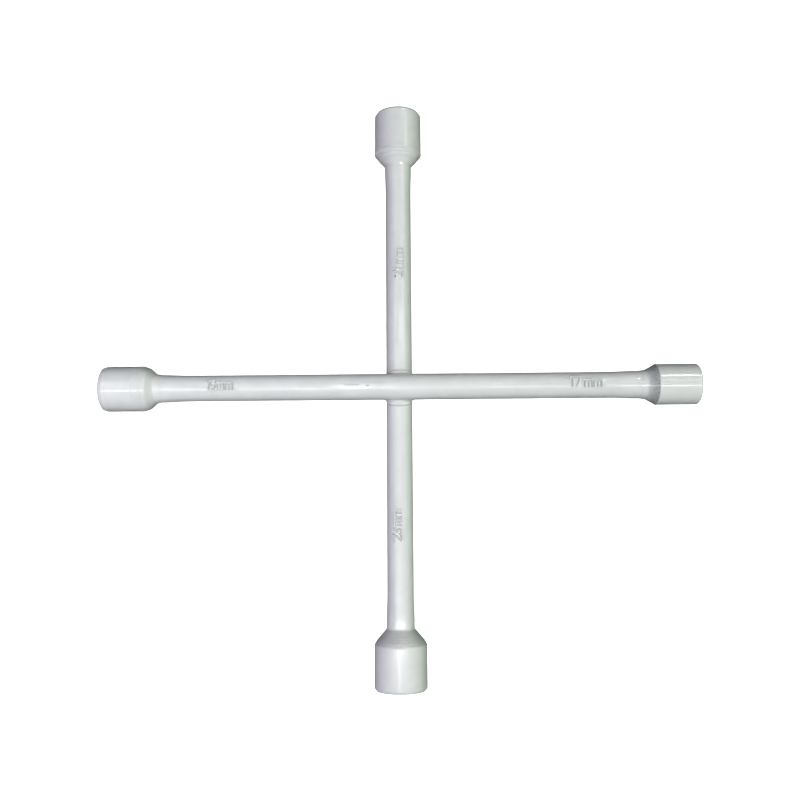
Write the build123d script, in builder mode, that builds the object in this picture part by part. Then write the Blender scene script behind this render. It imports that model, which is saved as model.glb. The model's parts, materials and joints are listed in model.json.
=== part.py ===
from build123d import *
import os
from dataclasses import dataclass
from math import sqrt

# Four-way lug wrench: two round bars lapped and welded into a cross, with a hex socket on each arm.
# It lies flat, +Z up. X runs along the 17/19 bar and Y along the 21/23 bar, which passes underneath.
# The origin is on the ground under the crossing. All lengths are in millimetres.

# Overall layout
half_length = 182.5  # crossing centre to every socket rim
lower_axis_height = 16.0  # 21/23 bar: its largest socket just touches the ground
lap_offset = 12.5  # from one bar's axis to the other's, where they are pressed into each other
upper_axis_height = lower_axis_height + lap_offset

# Bars
bar_radius = 8.1
neck_radius = 8.5  # the bar ends are upset a little, ready for welding
upset_length = 16.0  # run over which a bar swells from bar_radius to neck_radius
spigot_radius = 5.0
spigot_length = 6.0
groove_half_width = 1.5  # each side of the welding groove at the surface
tail_length = 4.0  # socket's own neck, from the groove's root to the cone

# Crossing weld
bead_reach = 11.2  # from the crossing's centre to the toe of the bead
bead_throat_radius = 8.1  # where the bead dies into the flank of the bar
bead_half_height = 5.0
bead_crown = 0.45  # how far the bead's face bulges
bead_core_radius = 5.0

# Hex recesses
hex_clearance = 0.2  # across flats, over the nut's nominal size
hex_depth = 18.0
relief_depth = 10.0  # round relief behind the hex, for the end of the wheel stud
lead_in_margin = 0.25
lead_in_depth = 2.0

# Stamped size marks
mark_depth = 0.35
mark_stroke = 0.9
mark_gap = 1.2
upper_mark_height = 5.8
lower_mark_height = 5.2
mark_start_17 = 104.1  # each start is along its bar, from the crossing
mark_start_19 = -116.8
mark_start_21 = 71.5
mark_start_23 = -93.6
mark_shift_17 = 1.3  # each shift is to the left of the reading direction, off the bar's top line
mark_shift_19 = 1.1
mark_shift_21 = 0.3
mark_shift_23 = 1.9


up = Vector(0, 0, 1)


@dataclass
class SocketForm:
    """One socket end: where it points, its hex and its turned outline, measured from the crossing."""

    size: int  # nut size across flats
    outward: Vector
    axis_height: float
    outer_radius: float
    relief_radius: float
    neck_start: float  # where the cone meets the neck
    waist: tuple  # distance and radius where the cone changes its slope
    shoulder: float  # where the full diameter starts
    neck_blend: float  # fillet between neck and cone
    shoulder_break: float  # fillet on the shoulder's edge
    rim_chamfer: tuple  # axial length, radial depth

    def side_plane(self) -> Plane:
        """Plane through the bar's axis: local x runs outward along the bar, local y straight up."""
        return Plane(
            origin=(0, 0, self.axis_height),
            x_dir=self.outward,
            z_dir=self.outward.cross(up),
        )

    def cross_plane(self, distance: float) -> Plane:
        """Plane square to the bar at a distance from the crossing, facing outward."""
        origin = Vector(0, 0, self.axis_height) + self.outward * distance
        return Plane(origin=origin, x_dir=(0, 0, 1), z_dir=self.outward)

    def axis(self) -> Axis:
        """The bar's axis, pointing outward."""
        return Axis((0, 0, self.axis_height), self.outward)

    def joint(self) -> float:
        """Distance from the crossing to the root of the welding groove."""
        return self.neck_start - tail_length

    def hex_flats(self) -> float:
        """Width across flats of the recess."""
        return self.size + hex_clearance

    def hex_corner_radius(self) -> float:
        """Radius to the corners of the recess."""
        return self.hex_flats() / sqrt(3)


socket_17 = SocketForm(
    size=17,
    outward=Vector(1, 0, 0),
    axis_height=upper_axis_height,
    outer_radius=12.5,
    relief_radius=6.75,
    neck_start=148.6,
    waist=(153.4, 9.7),
    shoulder=158.4,
    neck_blend=12.0,
    shoulder_break=0.2,
    rim_chamfer=(0.9, 0.7),
)
socket_19 = SocketForm(
    size=19,
    outward=Vector(-1, 0, 0),
    axis_height=upper_axis_height,
    outer_radius=14.0,
    relief_radius=6.75,
    neck_start=149.6,
    waist=(153.2, 12.0),
    shoulder=156.6,
    neck_blend=2.4,
    shoulder_break=1.6,
    rim_chamfer=(3.0, 1.2),
)
socket_21 = SocketForm(
    size=21,
    outward=Vector(0, 1, 0),
    axis_height=lower_axis_height,
    outer_radius=15.0,
    relief_radius=7.75,
    neck_start=148.6,
    waist=(152.7, 12.6),
    shoulder=155.2,
    neck_blend=2.0,
    shoulder_break=0.3,
    rim_chamfer=(1.6, 1.1),
)
socket_23 = SocketForm(
    size=23,
    outward=Vector(0, -1, 0),
    axis_height=lower_axis_height,
    outer_radius=16.0,
    relief_radius=8.25,
    neck_start=146.4,
    waist=(151.1, 12.2),
    shoulder=155.8,
    neck_blend=3.0,
    shoulder_break=0.2,
    rim_chamfer=(1.4, 1.0),
)
all_sockets = [socket_17, socket_19, socket_21, socket_23]

os.makedirs("parts", exist_ok=True)


# Size marks: plain single strokes in a cell one unit high, with each cell's width.
glyph_strokes = {
    "1": [[(0.0, 0.78), (0.24, 1.0), (0.24, 0.0)]],
    "2": [[(0.0, 0.8), (0.14, 1.0), (0.4, 1.0), (0.54, 0.8), (0.54, 0.62), (0.0, 0.0), (0.56, 0.0)]],
    "3": [
        [(0.0, 0.86), (0.16, 1.0), (0.4, 1.0), (0.54, 0.84), (0.54, 0.66), (0.38, 0.53), (0.22, 0.53)],
        [(0.38, 0.53), (0.56, 0.38), (0.56, 0.16), (0.4, 0.0), (0.14, 0.0), (0.0, 0.14)],
    ],
    "7": [[(0.0, 1.0), (0.56, 1.0), (0.2, 0.0)]],
    "9": [
        [(0.54, 0.6), (0.38, 0.44), (0.14, 0.44), (0.0, 0.6), (0.0, 0.84), (0.14, 1.0), (0.4, 1.0)],
        [(0.4, 1.0), (0.54, 0.84), (0.54, 0.24), (0.4, 0.0), (0.08, 0.0)],
    ],
    "m": [
        [(0.0, 0.0), (0.0, 0.66)],
        [(0.0, 0.5), (0.14, 0.64), (0.28, 0.64), (0.38, 0.52), (0.38, 0.0)],
        [(0.38, 0.5), (0.52, 0.64), (0.66, 0.64), (0.76, 0.52), (0.76, 0.0)],
    ],
    " ": [],
}
glyph_widths = {"1": 0.24, "2": 0.56, "3": 0.56, "7": 0.56, "9": 0.54, "m": 0.76, " ": 0.1}


def mark_stamp(
    text: str,
    start: float,
    shift: float,
    letter_height: float,
    bar_end: SocketForm,
    reading: Vector,
) -> Part:
    """Makes the stamp that presses a size mark into a bar.

    Args:
        text: characters from glyph_strokes.
        start: where the first character starts, along the bar.
        shift: how far the mark sits to the left of the bar's top line.
        letter_height: height of the tall characters.
        bar_end: either socket of the bar that carries the mark.
        reading: direction in which the mark reads, along the bar.

    Returns:
        The strokes as thin walls that reach from the bottom of the mark to just above the bar's surface.
    """
    level = Plane(origin=(0, 0, bar_end.axis_height), x_dir=reading, z_dir=(0, 0, 1))
    with BuildPart() as mark:
        with BuildSketch(level):
            left = start
            for character in text:
                for stroke in glyph_strokes[character]:
                    points = [
                        (left + x * letter_height, (y - 0.5) * letter_height + shift)
                        for x, y in stroke
                    ]
                    with BuildLine() as path:
                        Polyline(*points)
                    trace(path.line, line_width=mark_stroke)
                left += glyph_widths[character] * letter_height + mark_gap
        extrude(amount=bar_radius + mark_depth)
        with BuildSketch(bar_end.cross_plane(0)):
            Circle(bar_radius + mark_depth)
            Circle(bar_radius - mark_depth, mode=Mode.SUBTRACT)
        extrude(amount=half_length, both=True, mode=Mode.INTERSECT)
    return mark.part


def bar_blank(first: SocketForm, second: SocketForm) -> Part:
    """Turns one bar: upset ends, a half groove and a spigot at each end.

    Args:
        first: the socket at the end the bar's local x points to.
        second: the socket at the other end.

    Returns:
        The bar before its seat is pressed in.
    """
    with BuildPart() as blank:
        with BuildSketch(first.side_plane()):
            with BuildLine():
                Polyline(
                    (-second.joint() - spigot_length, 0),
                    (-second.joint() - spigot_length, spigot_radius),
                    (-second.joint(), spigot_radius),
                    (-second.joint() + groove_half_width, neck_radius),
                    (-second.joint() + upset_length, bar_radius),
                    (first.joint() - upset_length, bar_radius),
                    (first.joint() - groove_half_width, neck_radius),
                    (first.joint(), spigot_radius),
                    (first.joint() + spigot_length, spigot_radius),
                    (first.joint() + spigot_length, 0),
                    close=True,
                )
            make_face()
        revolve(axis=first.axis())
    return blank.part


# The height at which both bars have the same depth left, where the seats meet
lap_height = (lower_axis_height + upper_axis_height) / 2

along_upper = Vector(1, 0, 0)
along_lower = Vector(0, 1, 0)
mark_17 = mark_stamp("17 mm", mark_start_17, mark_shift_17, upper_mark_height, socket_17, along_upper)
mark_19 = mark_stamp("19mm", mark_start_19, mark_shift_19, upper_mark_height, socket_19, along_upper)
mark_21 = mark_stamp("21 mm", mark_start_21, mark_shift_21, lower_mark_height, socket_21, along_lower)
mark_23 = mark_stamp("23 mm", mark_start_23, mark_shift_23, lower_mark_height, socket_23, along_lower)

# Upper bar, along X, with a seat pressed into its underside by the lower bar
with BuildPart() as bar_17_19:
    add(bar_blank(socket_17, socket_19))
    add(mark_17, mode=Mode.SUBTRACT)
    add(mark_19, mode=Mode.SUBTRACT)
    with BuildSketch(Plane.XZ):
        with Locations((0, lower_axis_height)):
            Circle(bar_radius)
        with Locations((0, lap_height)):
            Rectangle(2 * bar_radius, 2 * bar_radius, align=(Align.CENTER, Align.MAX), mode=Mode.INTERSECT)
    extrude(amount=2 * bar_radius, both=True, mode=Mode.SUBTRACT)
bar_17_19.part.label = "bar_17_19"
export_step(bar_17_19.part, "parts/bar_17_19.step")

# Lower bar, along Y, with a seat pressed into its top by the upper bar
with BuildPart() as bar_21_23:
    add(bar_blank(socket_21, socket_23))
    add(mark_21, mode=Mode.SUBTRACT)
    add(mark_23, mode=Mode.SUBTRACT)
    with BuildSketch(Plane.YZ):
        with Locations((0, upper_axis_height)):
            Circle(bar_radius)
        with Locations((0, lap_height)):
            Rectangle(2 * bar_radius, 2 * bar_radius, align=(Align.CENTER, Align.MIN), mode=Mode.INTERSECT)
    extrude(amount=2 * bar_radius, both=True, mode=Mode.SUBTRACT)
bar_21_23.part.label = "bar_21_23"
export_step(bar_21_23.part, "parts/bar_21_23.step")


def make_socket(form: SocketForm) -> None:
    """Makes one socket: turned outside, hex recess, stud relief and a blind hole for the bar's spigot."""
    chamfer_length, chamfer_depth = form.rim_chamfer
    name = f"socket_{form.size}"
    with BuildPart() as socket:
        with BuildSketch(form.side_plane()) as outline:
            with BuildLine():
                Polyline(
                    (form.joint() + spigot_length, 0),
                    (form.joint() + spigot_length, spigot_radius),
                    (form.joint(), spigot_radius),
                    (form.joint() + groove_half_width, neck_radius),
                    (form.neck_start, neck_radius),
                    form.waist,
                    (form.shoulder, form.outer_radius),
                    (half_length - chamfer_length, form.outer_radius),
                    (half_length, form.outer_radius - chamfer_depth),
                    (half_length, 0),
                    close=True,
                )
            make_face()
            neck_corner = outline.vertices().sort_by_distance((form.neck_start, neck_radius))[0]
            fillet(neck_corner, radius=form.neck_blend)
            shoulder_corner = outline.vertices().sort_by_distance((form.shoulder, form.outer_radius))[0]
            fillet(shoulder_corner, radius=form.shoulder_break)
        revolve(axis=form.axis())
        with BuildSketch(form.cross_plane(half_length)):
            RegularPolygon(form.hex_flats() / 2, 6, major_radius=False)
        extrude(amount=-hex_depth, mode=Mode.SUBTRACT)
        with BuildSketch(form.cross_plane(half_length - hex_depth)):
            Circle(form.relief_radius)
        extrude(amount=-relief_depth, mode=Mode.SUBTRACT)
        with BuildSketch(form.side_plane()):
            with BuildLine():
                Polyline(
                    (half_length, 0),
                    (half_length, form.hex_corner_radius() + lead_in_margin),
                    (half_length - lead_in_depth, form.hex_flats() / 2),
                    (half_length - lead_in_depth, 0),
                    close=True,
                )
            make_face()
        revolve(axis=form.axis(), mode=Mode.SUBTRACT)
    socket.part.label = name
    export_step(socket.part, f"parts/{name}.step")


def make_neck_weld(form: SocketForm) -> None:
    """Makes the weld that fills the groove between a bar's end and its socket, dressed flush."""
    name = f"neck_weld_{form.size}"
    with BuildPart() as neck_weld:
        with BuildSketch(form.side_plane()):
            with BuildLine():
                Polyline(
                    (form.joint(), spigot_radius),
                    (form.joint() + groove_half_width, neck_radius),
                    (form.joint() - groove_half_width, neck_radius),
                    close=True,
                )
            make_face()
        revolve(axis=form.axis())
    neck_weld.part.label = name
    export_step(neck_weld.part, f"parts/{name}.step")


def make_crossing_weld(form: SocketForm) -> None:
    """Makes the bead in the corner between both bars on the side that faces one socket."""
    name = f"crossing_weld_{form.size}"
    quarter_start = Vector(form.outward).rotate(Axis.Z, -45)
    face_middle = (bead_reach + bead_throat_radius) / 2 + bead_crown
    toe_height = bead_half_height - (bead_reach - bead_throat_radius)
    crown_height = (bead_half_height + toe_height) / 2 + bead_crown
    with BuildPart() as crossing_weld:
        with BuildSketch(Plane(up * lap_height, x_dir=quarter_start, z_dir=quarter_start.cross(up))):
            with BuildLine():
                Line((bead_core_radius, -bead_half_height), (bead_throat_radius, -bead_half_height))
                ThreePointArc((bead_throat_radius, -bead_half_height), (face_middle, -crown_height),
                              (bead_reach, -toe_height))
                Line((bead_reach, -toe_height), (bead_reach, toe_height))
                ThreePointArc((bead_reach, toe_height), (face_middle, crown_height),
                              (bead_throat_radius, bead_half_height))
                Line((bead_throat_radius, bead_half_height), (bead_core_radius, bead_half_height))
                Line((bead_core_radius, bead_half_height), (bead_core_radius, -bead_half_height))
            make_face()
        revolve(axis=Axis.Z, revolution_arc=90)
        with BuildSketch(Plane.YZ):
            with Locations((0, upper_axis_height)):
                Circle(bar_radius)
        extrude(amount=2 * bead_reach, both=True, mode=Mode.SUBTRACT)
        with BuildSketch(Plane.XZ):
            with Locations((0, lower_axis_height)):
                Circle(bar_radius)
        extrude(amount=2 * bead_reach, both=True, mode=Mode.SUBTRACT)
    crossing_weld.part.label = name
    export_step(crossing_weld.part, f"parts/{name}.step")


for socket_form in all_sockets:
    make_socket(socket_form)
    make_neck_weld(socket_form)
    make_crossing_weld(socket_form)
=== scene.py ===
import json
import logging
import math
from dataclasses import dataclass
from enum import Enum

import bpy
import numpy as np
from mathutils import Matrix, Quaternion, Vector


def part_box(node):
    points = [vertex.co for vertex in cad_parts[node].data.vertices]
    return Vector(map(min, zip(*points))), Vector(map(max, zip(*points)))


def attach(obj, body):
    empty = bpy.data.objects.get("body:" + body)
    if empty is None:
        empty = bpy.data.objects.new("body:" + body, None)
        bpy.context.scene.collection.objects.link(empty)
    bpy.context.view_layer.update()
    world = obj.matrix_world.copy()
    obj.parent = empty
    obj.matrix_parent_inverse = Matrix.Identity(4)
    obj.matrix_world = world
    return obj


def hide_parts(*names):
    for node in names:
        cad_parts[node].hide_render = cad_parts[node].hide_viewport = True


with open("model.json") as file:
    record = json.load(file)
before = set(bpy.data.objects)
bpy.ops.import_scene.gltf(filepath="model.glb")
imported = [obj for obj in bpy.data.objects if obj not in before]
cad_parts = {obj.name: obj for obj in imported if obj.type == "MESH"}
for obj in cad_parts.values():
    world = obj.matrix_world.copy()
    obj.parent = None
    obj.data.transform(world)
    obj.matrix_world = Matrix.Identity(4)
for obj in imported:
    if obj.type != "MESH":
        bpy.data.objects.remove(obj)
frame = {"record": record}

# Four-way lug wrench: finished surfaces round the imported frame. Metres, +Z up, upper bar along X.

Tree = bpy.types.NodeTree
Field = bpy.types.NodeSocket  # a number, place or colour at each point of a surface

MM = 0.001
BAR_RADIUS = 8.1 * MM  # of both bars in the CAD
WELD_HALF_WIDTH = 1.5 * MM  # half the width of a neck weld
HEX_CLEARANCE_MM = 0.2  # a hex recess is this much wider than its nut
LEAD_IN_MARGIN_MM = 0.25  # the mouth of a recess is this much wider, in radius, than the hex's corners
ROUND = np.linspace(0, 2 * math.pi, 180, endpoint=False)  # angles of the points round a turned piece
PRESSED = "pressed"  # mesh attribute: 1 at the bottom of a stamped stroke, 0 on the plain bar
COLOUR_MIX = {"data_type": "RGBA"}  # makes a Mix node mix colours, through the sockets named next
FACTOR, FIRST, SECOND, MIXED = 0, 6, 7, 2
BEAD_SEEDS = 40  # keeps the unevenness of the crossing's beads apart from that of the sockets
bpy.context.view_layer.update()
LOG = logging.getLogger("lug_wrench")


# ---------------------------------------------------------------- layout


class Reach(Enum):
    """Which way an arm points from the crossing."""

    EAST = (1.0, 0.0)
    WEST = (-1.0, 0.0)
    NORTH = (0.0, 1.0)
    SOUTH = (0.0, -1.0)


@dataclass(frozen=True)
class BarLine:
    """The straight line that a bar or an arm runs along.

    Attributes:
        along: unit vector outward along the arm, which is also a bar's reading direction.
        height: height of the axis above the ground, metres.
    """

    along: Vector
    height: float

    def place(self, distance: np.ndarray, across: np.ndarray, rise: np.ndarray) -> np.ndarray:
        """Turns bar coordinates into row coordinates.

        Args:
            distance: along the bar from the crossing, metres.
            across: to the left of that direction, metres.
            rise: above the bar's axis, metres.

        Returns:
            Points with a last axis of three.
        """
        x = distance * self.along.x - across * self.along.y
        y = distance * self.along.y + across * self.along.x
        z = np.broadcast_to(self.height + rise, x.shape)
        return np.stack([x, y, z], axis=-1)


@dataclass(frozen=True)
class ArmPlan:
    """Where one arm's socket sits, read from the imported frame.

    Attributes:
        size: nut size across flats, millimetres.
        line: outward line of the arm.
        rim: crossing to rim, metres.
        joint: crossing to the middle of the neck weld, metres.
        relief_radius: radius of the hole behind the hex, metres.
        relief_start: crossing to the bottom of that hole, metres.
        relief_end: crossing to the bottom of the hex, metres.
        neck_radius: radius where the socket meets its weld, metres.
    """

    size: int
    line: BarLine
    rim: float
    joint: float
    relief_radius: float
    relief_start: float
    relief_end: float
    neck_radius: float


def read_arm(size: int, reach: Reach) -> ArmPlan:
    """Reads one arm from the frame's boxes and from its mounts.

    Args:
        size: nut size, which names the arm's nodes and mounts.
        reach: which way the arm points.

    Returns:
        The arm's plan.
    """
    mounts = {mount["name"]: mount for mount in frame["record"]["mounts"]}
    relief = mounts[f"stud_relief_{size}"]
    outward = Vector((*reach.value, 0.0))
    low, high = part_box(f"socket_{size}")
    weld_low, weld_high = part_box(f"neck_weld_{size}")
    rim = max(low.dot(outward), high.dot(outward))
    middle = (weld_low + weld_high) / 2
    depth = Vector(relief["pos_m"]).dot(outward)
    half_depth = relief["dims"]["length_mm"] * MM / 2
    return ArmPlan(
        size=size,
        line=BarLine(outward, middle.z),
        rim=rim,
        joint=middle.dot(outward),
        relief_radius=relief["dims"]["r_mm"] * MM,
        relief_start=depth - half_depth,
        relief_end=depth + half_depth,
        neck_radius=(weld_high.z - weld_low.z) / 2,
    )


# ---------------------------------------------------------------- small tools


def linear(hex_colour: str) -> tuple[float, float, float, float]:
    """Turns an sRGB hex colour such as "#c9cdd0" into linear RGBA, by the standard's own curve."""
    parts = [int(hex_colour[i : i + 2], 16) / 255 for i in (1, 3, 5)]
    return (*[c / 12.92 if c <= 0.04045 else ((c + 0.055) / 1.055) ** 2.4 for c in parts], 1.0)


def smooth(value: np.ndarray) -> np.ndarray:
    """Eases 0..1 with flat ends, clipping what lies outside."""
    t = np.clip(value, 0.0, 1.0)
    return t * t * (3 - 2 * t)


def gentle_noise(u: np.ndarray, v: np.ndarray, seed: int) -> np.ndarray:
    """Sums a few slow sine waves into a smooth uneven field.

    Args:
        u: first coordinate in waves.
        v: angle round the bar in radians, so that the field closes on itself.
        seed: chooses the waves.

    Returns:
        Values of about -1 to 1.
    """
    waves = 5
    slowest, fastest = 0.5, 2.2
    most_turns = 2  # waves round the bar
    strength = 0.8  # brings the sum's usual range to about -1 to 1
    rng = np.random.default_rng(seed)
    total = np.zeros(np.broadcast(u, v).shape)
    for _ in range(waves):
        along = u * rng.uniform(slowest, fastest)
        around = v * rng.integers(-most_turns, most_turns + 1)
        total = total + np.sin(along + around + rng.uniform(0, 2 * math.pi))
    return total / math.sqrt(waves) * strength


def rounded_path(corners: list[tuple[float, float, float]], step: float) -> np.ndarray:
    """Samples a run of straight lines whose corners are rounded by arcs.

    Args:
        corners: (distance, radius, blend) for each corner, the blend being its fillet radius.
        step: longest gap between samples on an arc.

    Returns:
        Points as rows of (distance, radius).
    """
    most_trim = 0.48  # of a run, so that the fillets at its two ends never meet
    nearly_straight = math.pi / 2 - 1e-4  # half the angle between two runs that go on in one line
    points = [np.array(corners[0][:2])]
    for before, here, after in zip(corners, corners[1:], corners[2:]):
        corner = np.array(here[:2])
        back = np.array(before[:2]) - corner
        ahead = np.array(after[:2]) - corner
        back_length = np.linalg.norm(back)
        ahead_length = np.linalg.norm(ahead)
        back = back / back_length
        ahead = ahead / ahead_length
        half = math.acos(float(np.clip(back @ ahead, -1, 1))) / 2
        if here[2] <= 0 or half > nearly_straight:
            points.append(corner)
            continue
        trim = min(here[2] / math.tan(half), most_trim * back_length, most_trim * ahead_length)
        radius = trim * math.tan(half)
        middle = (back + ahead) / np.linalg.norm(back + ahead)
        centre = corner + middle * (radius / math.sin(half))
        first = corner + back * trim - centre
        last = corner + ahead * trim - centre
        swing = math.pi - 2 * half
        count = max(3, int(math.ceil(swing * radius / step)))
        for i in range(count + 1):
            t = i / count
            points.append(
                centre
                + first * math.sin((1 - t) * swing) / math.sin(swing)
                + last * math.sin(t * swing) / math.sin(swing)
            )
    points.append(np.array(corners[-1][:2]))
    return np.array(points)


def fill_path(points: np.ndarray, step: float | np.ndarray) -> np.ndarray:
    """Adds samples so that no gap is too wide.

    Args:
        points: the points of the path.
        step: widest gap, one value or one for each stretch.

    Returns:
        The points with the added ones.
    """
    filled = [points[0]]
    for start, end, widest in zip(points, points[1:], np.broadcast_to(step, len(points) - 1)):
        gap = float(np.linalg.norm(end - start))
        count = max(1, int(math.ceil(gap / widest)))
        filled.extend(start + (end - start) * (i + 1) / count for i in range(count))
    return np.array(filled)


class Shell:
    """A closed mesh made of rings of points, each ring going round once."""

    fold_degrees = 35.0  # a turn of the surface sharper than this stays a crisp edge

    def __init__(self, name: str, rings: np.ndarray, closed_rows: bool = False) -> None:
        """Keeps the rings.

        Args:
            name: the piece's name.
            rings: array of rings, points and coordinates.
            closed_rows: True if the last ring joins the first, as on a ring-shaped piece.
        """
        self.name = name
        self.rings = rings
        self.closed_rows = closed_rows

    def build(self, material: bpy.types.Material) -> bpy.types.Object:
        """Makes the mesh object, capped at both ends unless its rows close.

        Args:
            material: its finish.

        Returns:
            The new object.
        """
        rows, columns, _ = self.rings.shape
        points = self.rings.reshape(-1, 3)
        index = np.arange(rows * columns).reshape(rows, columns)
        below = index if self.closed_rows else index[:-1]
        above = np.roll(index, -1, axis=0) if self.closed_rows else index[1:]
        quads = np.stack(
            [below, np.roll(below, -1, axis=1), np.roll(above, -1, axis=1), above], axis=-1
        ).reshape(-1, 4)
        faces = quads.tolist()
        if not self.closed_rows:
            faces.append(index[0][::-1].tolist())
            faces.append(index[-1].tolist())
        first_cap = len(quads)
        mesh = bpy.data.meshes.new(self.name)
        mesh.from_pydata(points.tolist(), [], faces)
        mesh.validate()
        mesh.update()
        piece = bpy.data.objects.new(self.name, mesh)
        bpy.context.scene.collection.objects.link(piece)
        face_outward(mesh)
        mesh.shade_smooth()
        self.sharpen(mesh, first_cap)
        mesh.materials.append(material)
        return piece

    def sharpen(self, mesh: bpy.types.Mesh, first_cap: int) -> None:
        """Keeps the caps and the sharp turns of a wall from bending the light on the faces beside them.

        Args:
            mesh: the smooth mesh.
            first_cap: index of the first cap among the faces.
        """
        normals = np.zeros(len(mesh.polygons) * 3)
        mesh.polygons.foreach_get("normal", normals)
        normals = normals.reshape(-1, 3)
        beside: dict[tuple[int, int], list[int]] = {}
        for face in mesh.polygons:
            for key in face.edge_keys:
                beside.setdefault(key, []).append(face.index)
        limit = math.cos(math.radians(self.fold_degrees))
        sharp = []
        for edge in mesh.edges:
            pair = beside[edge.key]
            is_cap = len(pair) == 2 and max(pair) >= first_cap
            is_fold = len(pair) == 2 and float(normals[pair[0]] @ normals[pair[1]]) < limit
            sharp.append(is_cap or is_fold)
        flags = mesh.attributes.new("sharp_edge", "BOOLEAN", "EDGE")
        flags.data.foreach_set("value", sharp)


def turned(line: BarLine, rings: list[tuple[float, np.ndarray | float]]) -> np.ndarray:
    """Sets the rings of a turned piece round a line.

    Args:
        line: the piece's axis.
        rings: (distance from the crossing, radius at each angle or one radius) for each ring.

    Returns:
        Array of rings, points and coordinates.
    """
    distance = np.array([np.full(len(ROUND), place) for place, _ in rings])
    radius = np.array([np.broadcast_to(size, (len(ROUND),)) for _, size in rings])
    return line.place(distance, radius * np.sin(ROUND), radius * np.cos(ROUND))


def face_outward(mesh: bpy.types.Mesh) -> None:
    """Turns all faces of a closed mesh outward, by the sign of its volume.

    Args:
        mesh: the closed mesh, whose faces all turn the same way.
    """
    count = len(mesh.vertices)
    points = np.zeros(count * 3)
    mesh.vertices.foreach_get("co", points)
    points = points.reshape(-1, 3)
    mesh.calc_loop_triangles()
    corners = np.zeros(len(mesh.loop_triangles) * 3, int)
    mesh.loop_triangles.foreach_get("vertices", corners)
    a, b, c = points[corners.reshape(-1, 3)].transpose(1, 0, 2)
    if float(np.einsum("ij,ij->", a, np.cross(b, c))) < 0:
        mesh.flip_normals()


def level_aim(place: Vector, aim: Vector) -> Quaternion:
    """Turns a lamp or camera towards an aim, its width kept along X.

    Args:
        place: where it hangs.
        aim: the point it looks at.

    Returns:
        Its rotation.
    """
    ahead = (aim - place).normalized()
    right = ahead.cross(Vector((0.0, 1.0, 0.0))).normalized()
    return Matrix((right, right.cross(ahead), -ahead)).transposed().to_quaternion()


def hold(piece: bpy.types.Object, node: str) -> None:
    """Puts a finished piece in the place of its CAD node.

    Args:
        piece: the new mesh, already in the row frame.
        node: the CAD node it stands for.
    """
    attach(piece, "root")
    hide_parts(node)
    LOG.info("%s replaces %s: %d faces", piece.name, node, len(piece.data.polygons))


# ---------------------------------------------------------------- finishes


def add(
    tree: Tree,
    kind: str,
    settings: dict[str, object] | None = None,
    inputs: dict[str | int, object] | None = None,
) -> bpy.types.Node:
    """Adds one node, sets it up and links it.

    Args:
        tree: the node tree.
        kind: the node's type name without its first word, ShaderNode.
        settings: attributes of the node.
        inputs: socket values, or output sockets to link from.

    Returns:
        The new node.
    """
    node = tree.nodes.new(f"ShaderNode{kind}")
    for name, value in (settings or {}).items():
        setattr(node, name, value)
    for name, value in (inputs or {}).items():
        if isinstance(value, Field):
            tree.links.new(value, node.inputs[name])
        else:
            node.inputs[name].default_value = value
    return node


def new_material(name: str) -> tuple[bpy.types.Material, Tree, Field]:
    """Starts a material.

    Args:
        name: the material's name.

    Returns:
        The material, its node tree and the place of each point in the row frame.
    """
    material = bpy.data.materials.new(name)
    material.use_nodes = True
    tree = material.node_tree
    tree.nodes.clear()
    return material, tree, add(tree, "TexCoord").outputs["Object"]


def waves_per_metre(size_mm: float) -> float:
    """Scale for a noise whose features are about size_mm across."""
    return 1.0 / (size_mm * MM)


@dataclass(frozen=True)
class Patches:
    """Soft uneven patches: noise, with its middle values stretched from one end to the other.

    Attributes:
        size_mm: size of a patch, millimetres.
        middle: the noise values where the patches start and where they are full.
        detail: how many finer layers the noise has.
        roughness: how strong the finer layers are.
    """

    size_mm: float
    middle: tuple[float, float]
    detail: float = 2.0
    roughness: float = 0.5

    def build(self, tree: Tree, place: Field, low: float, high: float) -> Field:
        """Adds the patches.

        Args:
            tree: the node tree.
            place: position in the row frame.
            low: value between the patches.
            high: value in the patches.

        Returns:
            The value at each place.
        """
        noise = add(
            tree, "TexNoise", {},
            {
                "Vector": place, "Scale": waves_per_metre(self.size_mm),
                "Detail": self.detail, "Roughness": self.roughness,
            },
        )
        stretched = add(
            tree, "MapRange", {},
            {
                "Value": noise.outputs["Fac"], "From Min": self.middle[0],
                "From Max": self.middle[1], "To Min": low, "To Max": high,
            },
        )
        return stretched.outputs["Result"]


@dataclass(frozen=True)
class Scuff:
    """A place where the enamel is rubbed through, with a ragged, streaky edge.

    Attributes:
        centre: middle of the mark, metres in the row frame.
        half_size: half its extent along X, Y and Z, metres.
        depth: 0 to 1, how much of the enamel is gone.
        streak_mm: size of the streaks, millimetres.
        raggedness: how far the streaks push the edge about, in half sizes.
        edge: where the wear begins to fade and where it ends, in half sizes pushed by the streaks.
    """

    centre: tuple[float, float, float]
    half_size: tuple[float, float, float]
    depth: float
    streak_mm: float = 1.6
    raggedness: float = 1.1
    edge: tuple[float, float] = (1.05, 1.5)


@dataclass(frozen=True)
class ShadeDustBand:
    """A zone of a turned flare darkened by painted shade where it turns from the light, with grains of dust
    in it.

    Attributes:
        along: unit direction of the arm.
        start: crossing to where the dust begins, metres.
        full: crossing to where it is thickest, metres.
        end: crossing to where it stops short at an edge, metres.
        depth: 0 to 1, how dark it is.
        softness: half the width over which it stops, metres.
        grains: the clumps in which the painted shade and dust lie.
        thinnest: share of the painted shade and dust that lies between the clumps.
    """

    along: tuple[float, float, float]
    start: float
    full: float
    end: float
    depth: float
    softness: float = 0.15 * MM
    grains: Patches = Patches(0.9, (0.36, 0.58), 4.0, 0.75)
    thinnest: float = 0.35


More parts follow.
